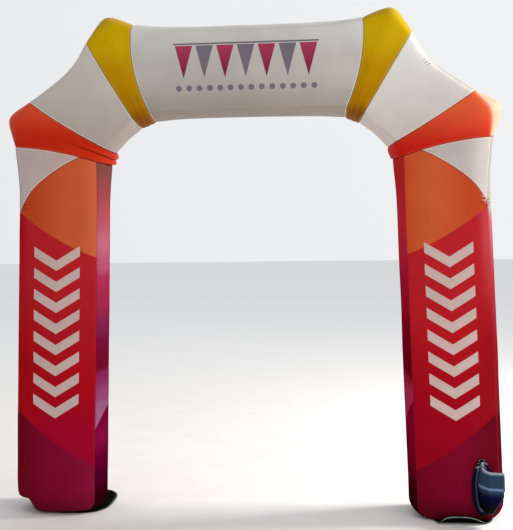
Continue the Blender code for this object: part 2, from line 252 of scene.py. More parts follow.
def rim_points(section, across, outward):
    """Points on the outer or inner panel, from the front to the back."""
    away_x = section.outer_x - section.inner_x
    away_z = section.outer_z - section.inner_z
    swell = 4 * across * (1 - across) / np.hypot(away_x, away_z)
    if outward:
        start_x, start_z, reach = section.outer_x, section.outer_z, section.crown_outer * swell
    else:
        start_x, start_z, reach = section.inner_x, section.inner_z, -section.crown_inner * swell
    y = section.half_depth * (2 * across - 1)
    return np.stack([start_x + away_x * reach, y, start_z + away_z * reach], axis=-1)


def panel_points(label, section, across):
    """Points of a tube's front, back, outer or inner panel."""
    if label in ("front", "back"):
        return face_points(section, across, -1 if label == "front" else 1)
    return rim_points(section, across, label == "outer")


# ---------------------------------------------------------------- unevenness of the cloth

# The noise is a hash of the corners of a lattice, with a soft passage between them.
LATTICE = np.array([73856093, 19349663, 83492791], dtype=np.int64)
SCRAMBLE = 1274126177
SEED_KEY = 7919
SEED_SHIFT = 13.7          # in cells
FINER = 2.1                # a ripple's finer noise has cells that much smaller


def soft(share):
    """Soft S from 0 to 1."""
    return share * share * (3 - 2 * share)


def smooth_step(low, high, value):
    """0 below low, 1 above high and a soft S in between."""
    return soft(np.clip((value - low) / (high - low), 0, 1))


def noise(points, cell, seed):
    """Smooth noise from -1 to 1 at an array of points, with a cell size in metres."""
    spots = points / cell + seed * SEED_SHIFT
    corner = np.floor(spots).astype(np.int64)
    ease = soft(spots - corner)
    total = np.zeros(points.shape[:-1])
    for offset in np.ndindex(2, 2, 2):
        key = (corner + np.array(offset)) @ LATTICE + seed * SEED_KEY
        key = (key ^ (key >> 13)) * SCRAMBLE
        value = ((key ^ (key >> 16)) & 0xFFFF) / 32767.5 - 1
        total += value * np.prod(np.where(np.array(offset) == 1, ease, 1 - ease), axis=-1)
    return total


def ripple(along, cell, seed):
    """Smooth noise along one line, with finer noise of half the height on top."""
    points = np.stack([along, np.zeros_like(along), np.zeros_like(along)], axis=-1)
    return noise(points, cell, seed) + 0.5 * noise(points, cell / FINER, seed + 1)


def slant_of(points, row, column_step):
    """Sine of the angle between the seam at one end of a grid and the lines that meet it."""
    seam = np.gradient(points[:, row], axis=0)
    line = points[:, row + column_step] - points[:, row]
    size = np.linalg.norm(seam, axis=-1) * np.linalg.norm(line, axis=-1)
    return np.linalg.norm(np.cross(seam, line), axis=-1) / np.maximum(size, 1e-9)


FAR = 1.0                  # stands for a distance where there is no seam, fold or crease
GROOVE_DEPTH = 0.0030      # a seam draws the cloth in
GROOVE_WIDTH = 0.0065
EDGE_SOFTNESS = 0.028      # how far the rounding of an edge without a seam reaches
SEAM_CALM = 0.075          # the broad unevenness fades out this near a seam
BROAD_CELL = 0.42
BROAD_FINE_CELL = 0.17
BROAD_FINE_SHARE = 0.45
PUCKER_PEAK = 0.022        # distance from a seam at which its puckers are highest
PUCKER_CELL = 0.021
PUCKER_GROUP = 0.22        # puckers come in groups of this length, with flatter ones between
PUCKER_FLAT = 0.45


def puckers(distance, line, seed):
    """Puckers of height 1 beside a seam, from the distance to it and the place along it."""
    rise = distance / PUCKER_PEAK * np.exp(1 - distance / PUCKER_PEAK)
    group = smooth_step(-0.1, 0.7, ripple(line, PUCKER_GROUP, seed + 9))
    return rise * (PUCKER_FLAT + (1 - PUCKER_FLAT) * group) * ripple(line, PUCKER_CELL, seed)


# Gathers where the inner side of an elbow has too much cloth.  creases are their places as
# shares of the elbow's length there, start is where they begin across the front, height is
# that of the rolls between them at the inner side.
Gather = namedtuple("Gather", "creases start height sharpness wander")
LEFT_LOWER = Gather((0.58,), 0.30, 0.020, 0.7, 0.04)
RIGHT_LOWER = Gather((0.50,), 0.45, 0.003, 0.9, 0.05)
UPPER = Gather((0.30, 0.66), 0.50, 0.006, 0.8, 0.05)
DEEP_GATHER = 0.016        # rolls this high leave their creases in full shade
ROLL_GROWTH = 1.4
SHADE_NARROWNESS = 2.5
DRIFT_CELL = 0.35          # share of the depth over which a crease wanders aside
DRIFT_START = 9.3
DRIFT_SEED = 3


def gathered(gather, share, inward, depth_share):
    """Height of an elbow's rolls, and how deep in shade they are.

    share is along the elbow, inward is from the outer side to the inner one.
    """
    knots = np.array([0.0, *gather.creases, 1.0])
    drift = gather.wander * ripple(depth_share + DRIFT_START, DRIFT_CELL, DRIFT_SEED)
    shifted = np.clip(share + drift * share * (1 - share) * 4, 0, 1)
    roll = np.interp(shifted, knots, np.arange(len(knots)))
    wave = np.abs(np.sin(math.pi * roll)) ** gather.sharpness
    grow = smooth_step(gather.start, 1.0, inward) ** ROLL_GROWTH
    shade = (1 - wave) ** SHADE_NARROWNESS * grow * min(gather.height / DEEP_GATHER, 1.0)
    return wave * grow * gather.height, shade


def edge_insets(section):
    """How far an evenly rounded edge lies inside a tube's outer and inner corners."""
    width = np.hypot(section.outer_x - section.inner_x, section.outer_z - section.inner_z)
    face_lean = np.arctan(4 * section.crown_face / width)

    def inset(crown):
        side_lean = np.arctan(2 * crown / section.half_depth)
        return EDGE_SOFTNESS * np.tan((math.pi / 2 - face_lean - side_lean) / 2)

    return inset(section.crown_outer), inset(section.crown_inner)


# Folds that are pressed or pulled into the cloth of the front.  x and z are a fold's middle
# on the right half of the arch, or on the mirrored left one, turn is its angle from level in
# degrees, rising outwards; long and wide are its half length and half width, high its height.
Crease = namedtuple("Crease", "side x z turn long wide high")
CREASES = (
    # gathers at the lower tips of the corner pieces
    Crease("right", 1.838, 2.517, -14, 0.052, 0.0085, 0.0075),
    Crease("right", 1.842, 2.490, -12, 0.048, 0.0085, 0.0090),
    Crease("right", 1.852, 2.464, -20, 0.034, 0.0075, 0.0060),
    Crease("left", 1.800, 2.528, -6, 0.050, 0.0080, 0.0050),
    Crease("left", 1.790, 2.502, -3, 0.060, 0.0080, 0.0060),
    Crease("left", 1.830, 2.476, 4, 0.030, 0.0080, 0.0050),
    # crumples beside the outer seam of the right slant
    Crease("right", 1.398, 3.590, 30, 0.024, 0.0085, 0.0065),
    Crease("right", 1.418, 3.576, 27, 0.030, 0.0085, 0.0070),
    Crease("right", 1.437, 3.560, 30, 0.024, 0.0085, 0.0060),
)
CREASE_Y = -0.24
CREASE_DEPTH = 0.12        # how far a fold reaches round from the front
FOLD_HEIGHT = 0.009        # a crest this high counts as one in the folds' shading


def creased(points, hand):
    """Height of the pressed folds at an array of points."""
    x, y, z = np.moveaxis(points, -1, 0)
    total = np.zeros_like(x)
    for crease in CREASES:
        if HANDS[crease.side] != hand:
            continue
        off_x = x - crease.x
        off_z = z - crease.z
        turn = math.radians(crease.turn)
        along = (off_x * math.cos(turn) + off_z * math.sin(turn)) / crease.long
        aside = (off_z * math.cos(turn) - off_x * math.sin(turn)) / crease.wide
        fade = np.exp(-(along**2) - ((y - CREASE_Y) / CREASE_DEPTH) ** 2)
        total += crease.high * fade * (1 - 2 * aside**2) * np.exp(-(aside**2))
    return total


# ---------------------------------------------------------------- materials

def linear(red, green, blue):
    """Linear colour from 0-255 screen values."""
    def one(value):
        share = value / 255.0
        return share / 12.92 if share <= 0.04045 else ((share + 0.055) / 1.055) ** 2.4
    return (one(red), one(green), one(blue), 1.0)


class Value:
    """A number in a material's node tree, made to be added, multiplied and compared."""

    def __init__(self, finish, socket):
        self.finish = finish
        self.socket = socket

    def __add__(self, other):
        return self.finish.math("ADD", self, other)

    def __sub__(self, other):
        return self.finish.math("SUBTRACT", self, other)

    def __rsub__(self, other):
        return self.finish.math("SUBTRACT", other, self)

    def __mul__(self, other):
        return self.finish.math("MULTIPLY", self, other)

    def __truediv__(self, other):
        return self.finish.math("DIVIDE", self, other)

    def __lt__(self, other):
        return self.finish.math("LESS_THAN", self, other)

    def __gt__(self, other):
        return self.finish.math("GREATER_THAN", self, other)

    def __abs__(self):
        return self.finish.math("ABSOLUTE", self)


class Finish:
    """Node tree of one material, built by calls that return its numbers and colours."""

    def __init__(self, name, roughness, gloss, sheen=0.0, tint=(255, 255, 255)):
        self.material = bpy.data.materials.new(name)
        self.material.use_nodes = True
        self.tree = self.material.node_tree
        self.shader = self.tree.nodes["Principled BSDF"]
        self.shader.inputs["Roughness"].default_value = roughness
        self.shader.inputs["Specular IOR Level"].default_value = gloss
        self.shader.inputs["Sheen Weight"].default_value = sheen
        self.shader.inputs["Sheen Roughness"].default_value = 0.4
        self.shader.inputs["Sheen Tint"].default_value = linear(*tint)

    def node(self, kind, **settings):
        made = self.tree.nodes.new(kind)
        for key, value in settings.items():
            setattr(made, key, value)
        return made

    def feed(self, socket, value):
        """Link a value to a socket, or set a plain number or a 0-255 screen colour there."""
        if isinstance(value, Value):
            value = value.socket
        elif isinstance(value, tuple):
            value = linear(*value)
        if isinstance(value, bpy.types.NodeSocket):
            self.tree.links.new(value, socket)
        else:
            socket.default_value = value

    def math(self, operation, *values):
        made = self.node("ShaderNodeMath", operation=operation)
        for socket, value in zip(made.inputs, values):
            self.feed(socket, value)
        return Value(self, made.outputs[0])

    def parts(self, vector):
        made = self.node("ShaderNodeSeparateXYZ")
        self.feed(made.inputs[0], vector)
        return tuple(Value(self, output) for output in made.outputs)

    def spot(self):
        """Where a point is: across the archway, in depth and in height."""
        return self.parts(self.place())

    def attribute(self, name):
        """The three numbers of a vector attribute."""
        return self.parts(self.node("ShaderNodeAttribute", attribute_name=name).outputs["Vector"])

    def place(self):
        return self.node("ShaderNodeTexCoord").outputs["Object"]

    def noise(self, cell, detail=2.0, distortion=0.0):
        """Noise from 0 to 1 with features of a size in metres."""
        made = self.node("ShaderNodeTexNoise")
        self.feed(made.inputs["Vector"], self.place())
        made.inputs["Scale"].default_value = 1 / cell
        made.inputs["Detail"].default_value = detail
        made.inputs["Distortion"].default_value = distortion
        return Value(self, made.outputs["Fac"])

    def bump(self, height, distance, strength, below):
        made = self.node("ShaderNodeBump")
        made.inputs["Distance"].default_value = distance
        made.inputs["Strength"].default_value = strength
        self.feed(made.inputs["Height"], height)
        if below is not None:
            self.feed(made.inputs["Normal"], below)
        return made.outputs["Normal"]


def rise(value, low, high, start=0.0, end=1.0):
    """Soft step from start to end while value goes from low to high."""
    made = value.finish.node("ShaderNodeMapRange", interpolation_type="SMOOTHSTEP")
    for key, number in (("Value", value), ("From Min", low), ("From Max", high),
                        ("To Min", start), ("To Max", end)):
        value.finish.feed(made.inputs[key], number)
    return Value(value.finish, made.outputs["Result"])


def fall(value, low, high):
    """Soft step from 1 to 0 while value goes from low to high."""
    return rise(value, low, high, 1.0, 0.0)


def mix(share, first, second):
    """Colour a share of the way from the first to the second."""
    made = share.finish.node("ShaderNodeMix", data_type="RGBA")
    share.finish.feed(made.inputs["Factor"], share)
    colours = [socket for socket in made.inputs if socket.type == "RGBA"]
    for socket, colour in zip(colours, (first, second)):
        share.finish.feed(socket, colour)
    return next(socket for socket in made.outputs if socket.type == "RGBA")


def scaled(colour, factor):
    """Colour made lighter or darker by a factor."""
    made = factor.finish.node("ShaderNodeVectorMath", operation="SCALE")
    factor.finish.feed(made.inputs[0], colour)
    factor.finish.feed(made.inputs["Scale"], factor)
    return made.outputs[0]


WEAVE = 0.0011             # spacing of the threads of the coated cloth
STITCH = 0.0050            # length of one stitch and the gap after it
STITCH_GAP = (0.12, 0.20)  # shares of it between which a stitch begins
STITCH_LINE = 0.0075       # distance of the stitches from the seam
# distances from a seam between which its marks come or go
PALE_FROM = (0.0035, 0.0050)
PALE_TO = (0.0090, 0.0125)
SHADOW_TO = (0.0018, 0.0055)
THREAD_TO = (0.0004, 0.0009)
ALLOWANCE_FROM = (0.0010, 0.0040)
ALLOWANCE_TO = (0.0110, 0.0130)
PULLS_TO = (0.010, 0.050)
# sizes of the features in the cloth
CLOUD_CELL = 0.28
SPECK_CELL = 0.012
PALE_CELL = 0.05
GLOSS_CELL = 0.09
PULL_CELL = 0.010
PACKING_CELL = 0.11
# heights of what stands out from it
ALLOWANCE_HEIGHT = 0.0009
PULL_HEIGHT = 0.0016
PACKING_HEIGHT = 0.0022
STITCH_HEIGHT = 0.0006
WEAVE_HEIGHT = 0.00012

# How a cloth is finished.  The seam colours are the shadow in a seam, its turned pale edge
# and its thread; the shares say how strongly the shadow shows in seams along and across the
# tube, and the pale edge beside those across it.
Cloth = namedtuple(
    "Cloth", "roughness gloss sheen tint shadow edge thread shadow_long shadow_cross edge_share")


def cloth_finish(name, paint, cloth):
    """Coated cloth: a painted colour with soft mottling, woven grain and sewn seams."""
    finish = Finish(name, cloth.roughness, cloth.gloss, cloth.sheen, cloth.tint)
    across, along, beside_long = finish.attribute("cloth")
    low_seam, high_seam, fold = finish.attribute("seams")
    colour = paint(finish)

    beside_cross = finish.math("MINIMUM", low_seam, high_seam)
    nearest = finish.math("MINIMUM", beside_cross, beside_long)

    # mottling: handling marks and faint dust, a few percent of the colour, and shade in folds
    clouds = rise(finish.noise(CLOUD_CELL, 3.0, 0.6), 0.25, 0.75, 0.955, 1.035)
    specks = rise(finish.noise(SPECK_CELL), 0.3, 0.7, -0.012, 0.012)
    shade = rise(fold, -0.60, -0.04, 0.50, 1.0)
    colour = scaled(colour, (clouds + specks) * shade)

    # a pale edge of turned cloth beside a crossing seam, and a dark line in the seam itself
    pale = rise(beside_cross, *PALE_FROM) * fall(beside_cross, *PALE_TO)
    uneven = rise(finish.noise(PALE_CELL), 0.30, 0.62, 0.55, 1.0)
    colour = mix(pale * uneven * cloth.edge_share, colour, cloth.edge)
    for distance, share in ((beside_long, cloth.shadow_long), (beside_cross, cloth.shadow_cross)):
        colour = mix(fall(distance, *SHADOW_TO) * share, colour, cloth.shadow)

    # stitches run along whichever seam is nearer
    by_long = beside_long < beside_cross
    along_seam = by_long * along + (1.0 - by_long) * across
    beat = finish.math("PINGPONG", along_seam, STITCH / 2)
    dash = rise(beat, STITCH * STITCH_GAP[0], STITCH * STITCH_GAP[1])
    stitch = dash * fall(abs(nearest - STITCH_LINE), *THREAD_TO)
    colour = mix(stitch * 0.8, colour, cloth.thread)
    finish.feed(finish.shader.inputs["Base Color"], colour)

    # coating: a little glossier on worn ridges, duller where dusty
    finish.feed(finish.shader.inputs["Roughness"], rise(
        finish.noise(GLOSS_CELL, 3.0), 0.3, 0.7, cloth.roughness - 0.05, cloth.roughness + 0.06))

    # the turned-in allowance of a seam, pulls at its stitches, faint creases from packing, the
    # stitches and the weave
    allowance = rise(nearest, *ALLOWANCE_FROM) * fall(nearest, *ALLOWANCE_TO)
    pulls = finish.noise(PULL_CELL) * fall(nearest, *PULLS_TO)
    packing = finish.noise(PACKING_CELL, 3.0, 1.2)
    warp = finish.math("SINE", across * (2 * math.pi / WEAVE))
    weft = finish.math("SINE", along * (2 * math.pi / WEAVE))
    normal = None
    for height, full, strength in (
            (allowance, ALLOWANCE_HEIGHT, 1.0), (pulls, PULL_HEIGHT, 0.7),
            (packing, PACKING_HEIGHT, 0.5), (stitch, STITCH_HEIGHT, 0.8),
            (warp * weft, WEAVE_HEIGHT, 0.5)):
        normal = finish.bump(height, full, strength, normal)
    finish.feed(finish.shader.inputs["Normal"], normal)
    return finish.material


def by_height(finish, *stops):
    """Colour that changes softly between stops of a height and a colour."""
    _, _, height = finish.spot()
    colour = stops[0][1]
    for (low, _), (high, upper) in zip(stops, stops[1:]):
        colour = mix(rise(height, low, high), colour, upper)
    return colour


def paint_heights(*stops):
    """Paint made of nothing but heights and their colours."""
    return lambda finish: by_height(finish, *stops)


# The beam's print: a row of pennants on a line, with a row of dots below.
PENNANTS = 7
PENNANT_WIDTH = 0.165
PENNANT_TOP = 3.760
PENNANT_DROP = 0.262
PENNANT_GAP = 0.012
LINE_WIDTH = 0.014
DOT_HEIGHT = 3.420
DOT_RADIUS = 0.023
DOT_PITCH = 0.0825
CRIMSON = (176, 58, 92)
DEEP_CRIMSON = (128, 10, 52)
SLATE = (120, 112, 124)


def beam_cloth(finish, *stops):
    """Off-white by height, darker low down as painted shade and a little lighter towards the
    right as painted light.
    """
    x, _, _ = finish.spot()
    return scaled(by_height(finish, *stops), rise(x, 0.0, 0.9, 1.0, 1.14))


def paint_beam_side(finish):
    """Plain cloth on top of the beam and under it, darker underneath as painted shade."""
    return beam_cloth(finish, (3.22, (151, 141, 131)), (3.90, (204, 201, 196)))


def paint_beam(finish):
    """Off-white cloth, darker low down as painted shade, with a band of crimson and grey pennants
    in the middle.
    """
    colour = beam_cloth(finish, (3.20, (160, 151, 143)), (3.58, (191, 187, 179)),
                        (3.95, (215, 213, 209)))
    x, _, height = finish.spot()
    off_middle = x - ARCH_MIDDLE.x
    half_band = PENNANTS * PENNANT_WIDTH / 2
    within = abs(off_middle) < half_band
    from_end = off_middle + half_band

    count = from_end / PENNANT_WIDTH
    beside = abs((finish.math("FRACT", count) - 0.5) * PENNANT_WIDTH)
    drop = PENNANT_TOP - height
    down = drop / PENNANT_DROP
    half_width = (1.0 - down) * (PENNANT_WIDTH / 2 - PENNANT_GAP)
    pennant = (beside < half_width) * (drop > 0.0) * within
    odd = finish.math("MODULO", finish.math("FLOOR", count), 2.0)
    colour = mix(pennant, colour, mix(odd, mix(down, CRIMSON, DEEP_CRIMSON), SLATE))
    line = (abs(drop + LINE_WIDTH) < LINE_WIDTH / 2) * within
    colour = mix(line, colour, SLATE)

    dot_x = (finish.math("FRACT", from_end / DOT_PITCH) - 0.5) * DOT_PITCH
    dot_z = height - DOT_HEIGHT
    dot = (dot_x * dot_x + dot_z * dot_z < DOT_RADIUS**2) * within
    return mix(dot, colour, SLATE)


# The legs' print: blocks of orange, red and plum, with a column of pale chevrons.
# The edges of the orange and the red are a height at the outer seam and one at the inner seam,
# a softness and a sag in between.
ORANGE_EDGE = (2.455, 2.080, 0.003, 0.12)
RED_EDGE = (0.840, 0.390, 0.012, 0.10)
LEG_WIDTH = 0.63
CHEVRONS = 8
CHEVRON_PITCH = 0.170
CHEVRON_STROKE = 0.082
CHEVRON_HALF_WIDTH = 0.185
CHEVRON_SLOPE = 0.62
CHEVRON_FOOT = 0.790
LEG_ORANGE = (206, 92, 52)
LEG_ORANGE_DEEP = (196, 70, 34)
LEG_RED_HIGH = (188, 34, 42)
LEG_RED_LOW = (174, 2, 18)
LEG_PALE = (205, 178, 172)

# Shades that the leg's blocks turn into, most of them painted light from the right: the red
# beside the outer seam high up and low down, darker as painted shade except high up on the
# right leg, where it is paler as painted highlight; the crimson below crimson_from; the orange
# beside the inner seam, paler on the left leg as painted highlight; and all of them on the
# crests of folds, paler as painted highlight.  The plum is given beside the outer seam, in the
# middle and beside the inner seam; its changes across the leg are painted light and shade.
Shades = namedtuple("Shades", "red_high red_low crimson crimson_from plum_outer plum_middle "
                    "plum_inner orange_inner crest")
LEFT_SHADES = Shades(red_high=(172, 10, 16), red_low=(168, 6, 14),
                     crimson=(165, 1, 46), crimson_from=1.15,
                     plum_outer=(114, 1, 24), plum_middle=(136, 5, 48),
                     plum_inner=(143, 16, 60), orange_inner=(217, 106, 67),
                     crest=(214, 116, 82))
RIGHT_SHADES = Shades(red_high=(200, 72, 78), red_low=(146, 8, 16),
                      crimson=(149, 0, 28), crimson_from=1.60,
                      plum_outer=(104, 1, 24), plum_middle=(127, 2, 39),
                      plum_inner=(115, 0, 28), orange_inner=(208, 80, 40),
                      crest=(240, 206, 178))


def leg_front(shades):
    """Orange over red over plum, parted by slanting edges, and the chevrons."""
    def paint(finish):
        _, _, height = finish.spot()
        share, _, _ = finish.attribute("print_place")
        _, _, fold = finish.attribute("seams")

        def above(outer_z, inner_z, softness, sag):
            edge = share * (inner_z - outer_z) + outer_z - share * (1.0 - share) * sag
            return rise(height - edge, -softness, softness)

        # the orange is deeper beside the outer seam, as painted shade on the left leg, and takes
        # orange_inner beside the inner seam, a painted highlight on the left leg
        orange = mix(rise(share, 0.1, 0.7), LEG_ORANGE_DEEP, LEG_ORANGE)
        orange = mix(rise(share, 0.78, 0.98), orange, shades.orange_inner)
        red = mix(rise(height, 0.7, 2.3), LEG_RED_LOW, LEG_RED_HIGH)
        red = mix(rise(height, 0.45, shades.crimson_from), shades.crimson, red)
        # beside the outer seam the red is darker as painted shade, but high up on the right leg
        # paler as painted highlight
        red = mix(fall(share, 0.0, 0.4) * fall(height, 1.1, 2.1), red, shades.red_low)
        red = mix(fall(share, 0.0, 0.16) * rise(height, 1.5, 2.3), red, shades.red_high)
        # the plum across the leg is painted light and shade, and darker near the ground as
        # painted shade
        plum = mix(rise(share, 0.0, 0.5), shades.plum_outer, shades.plum_middle)
        plum = mix(rise(share, 0.5, 1.0), plum, shades.plum_inner)
        plum = scaled(plum, rise(height, 0.0, 0.26, 0.66, 1.0))
        colour = mix(above(*ORANGE_EDGE), mix(above(*RED_EDGE), plum, red), orange)

        beside = abs((share - 0.5) * LEG_WIDTH)
        count = (height - CHEVRON_FOOT - beside * CHEVRON_SLOPE) / CHEVRON_PITCH
        stroke = finish.math("FRACT", count) < CHEVRON_STROKE / CHEVRON_PITCH
        whole = (count > 0.0) * (count < float(CHEVRONS))
        chevron = stroke * whole * (beside < CHEVRON_HALF_WIDTH)
        colour = mix(chevron, colour, LEG_PALE)
        # crests of pressed folds are paler: painted highlight
        return mix(rise(fold, 0.20, 0.60), colour, shades.crest)
    return paint


# A paler facet on a leg's inner panel: heights of its lower and upper edge at the front
# seam, and how they change towards the back.
Facet = namedtuple("Facet", "low low_slope low_bend high high_slope stops")
LEFT_FACET = Facet(0.69, 0.51, -0.41, 1.15, 0.02, (
    (0.74, (148, 90, 126)), (0.86, (144, 84, 122)), (0.95, (136, 64, 104)),
    (1.12, (127, 33, 79))))
RIGHT_FACET = Facet(0.93, -0.45, 0.0, 1.10, 0.20, (
    (0.84, (163, 46, 82)), (0.98, (161, 44, 80)), (1.14, (142, 18, 48))))
# Colours of the inner panels by height: crimson over plum, near black at the foot as painted
# shade; the left one has a painted rosy highlight 2.0 to 2.4 up and a painted reflection of the
# orange at its top.
LEFT_INNER = (
    (0.14, (44, 0, 11)), (0.27, (70, 0, 31)), (0.45, (96, 1, 40)),
    (0.60, (121, 14, 56)), (0.75, (114, 6, 48)), (1.25, (104, 10, 39)),
    (1.40, (108, 14, 50)), (1.50, (119, 29, 70)), (1.74, (151, 37, 68)),
    (1.90, (160, 42, 76)), (2.00, (171, 76, 107)), (2.20, (178, 97, 118)),
    (2.40, (172, 78, 90)), (2.60, (154, 69, 74)), (2.80, (133, 75, 70)))
RIGHT_INNER = (
    (0.20, (56, 0, 5)), (0.28, (74, 2, 10)), (0.36, (104, 3, 32)),
    (0.50, (122, 2, 35)), (0.82, (132, 6, 40)), (1.22, (112, 3, 22)),
    (1.50, (126, 5, 31)), (1.68, (158, 13, 43)), (1.84, (167, 20, 52)),
    (2.15, (188, 38, 64)), (2.31, (196, 42, 60)), (2.62, (194, 42, 46)))


def leg_inner(stops, facet, back_shade):
    """Crimson with a painted rosy highlight high up, over plum with a paler facet, darker at the
    back and near the ground as painted shade.
    """
    def paint(finish):
        _, _, height = finish.spot()
        share, _, _ = finish.attribute("print_place")
        low = share * share * facet.low_bend + (share * facet.low_slope + facet.low)
        high = share * facet.high_slope + facet.high
        inside = rise(height - low, -0.006, 0.010) * fall(height - high, -0.03, 0.03)
        colour = mix(inside, by_height(finish, *stops), by_height(finish, *facet.stops))
        # darker towards the back: painted shade
        return scaled(colour, rise(share, 0.12, 0.60, 1.0, back_shade))
    return paint


def toward_seam(near_seam, far, reach):
    """Paint that is another colour near the outer seam, or the front one of a side panel."""
    def paint(finish):
        across, _, _ = finish.attribute("print_place")
        return mix(rise(across, 0.0, reach), near_seam, far)
    return paint


def paint_sleeve(finish):
    """Navy, slate-blue on top as painted light and near black underneath as painted shade, with a
    painted highlight along the crease at the sleeve's side and along its top.
    """
    crease, below, _ = finish.attribute("print_place")
    navy = mix(rise(below, -0.30, 0.10), (46, 66, 90), (2, 7, 42))
    navy = mix(rise(below, 0.15, 0.70), navy, (1, 1, 4))
    navy = mix(fall(abs(crease), 0.02, 0.09) * 0.65, navy, (126, 154, 192))
    return mix(fall(below, -0.965, -0.90) * 0.60, navy, (164, 172, 184))


def paint_collar(finish):
    """Navy ring with a pale stitched band near the sleeve and a painted highlight on the crumples
    on top.
    """
    inward, turn, crumple = finish.attribute("print_place")
    band = rise(inward, 0.52, 0.60) * fall(inward, 0.86, 0.94)
    beat = rise(finish.math("PINGPONG", turn, 0.006), 0.0012, 0.0030)
    colour = mix(band * (beat * 0.40 + 0.10), (10, 14, 38), (128, 138, 172))
    # pale patches on the crumples on top: painted highlight
    crumple_highlight = crumple * rise(finish.noise(0.022), 0.50, 0.62)
    return mix(crumple_highlight, colour, (176, 182, 172))


def paint_pad(finish):
    """Heavy black cloth with grey dust, pale along the fold of its lip."""
    _, past_fold, _ = finish.attribute("print_place")
    dust = rise(finish.noise(0.06, 4.0), 0.45, 0.75)
    black = mix(dust * 0.15, (4, 4, 4), (36, 38, 34))
    # a pale line along the fold of the right pad's lip
    lip_pale = fall(abs(past_fold - 0.010), 0.004, 0.009)
    return mix(lip_pale * 0.75, black, (128, 146, 134))


WHITE_CLOTH = Cloth(
    roughness=0.55, gloss=0.16, sheen=0.03, tint=(240, 236, 230),
    shadow=(120, 104, 92), edge=(250, 232, 214), thread=(226, 222, 214),
    shadow_long=0.15, shadow_cross=0.75, edge_share=0.70)
CORNER_CLOTH = WHITE_CLOTH._replace(
    shadow=(150, 88, 66), edge=(250, 218, 198), thread=(226, 214, 208))
ORANGE_CLOTH = Cloth(
    roughness=0.50, gloss=0.06, sheen=0.0, tint=(240, 120, 90),
    shadow=(120, 14, 6), edge=(240, 96, 60), thread=(214, 70, 44),
    shadow_long=0.35, shadow_cross=0.70, edge_share=0.35)
YELLOW_CLOTH = Cloth(
    roughness=0.50, gloss=0.04, sheen=0.0, tint=(236, 210, 110),
    shadow=(122, 84, 4), edge=(226, 196, 84), thread=(206, 168, 34),
    shadow_long=0.30, shadow_cross=0.65, edge_share=0.30)
LEG_CLOTH = Cloth(
    roughness=0.52, gloss=0.04, sheen=0.0, tint=(220, 60, 60),
    shadow=(84, 8, 16), edge=(236, 160, 130), thread=(186, 58, 50),
    shadow_long=0.32, shadow_cross=0.60, edge_share=0.05)
LEG_SIDE_CLOTH = LEG_CLOTH._replace(
    gloss=0.0, shadow=(84, 8, 30), edge=(220, 120, 140), thread=(170, 48, 78))
PAD_CLOTH = Cloth(
    roughness=0.80, gloss=0.01, sheen=0.0, tint=(60, 62, 60),
    shadow=(8, 9, 8), edge=(158, 176, 164), thread=(60, 66, 60),
    shadow_long=0.0, shadow_cross=0.5, edge_share=0.95)
NAVY_CLOTH = Cloth(
    roughness=0.48, gloss=0.03, sheen=0.0, tint=(120, 140, 180),
    shadow=(6, 8, 22), edge=(88, 106, 140), thread=(120, 136, 162),
    shadow_long=0.0, shadow_cross=0.4, edge_share=0.25)

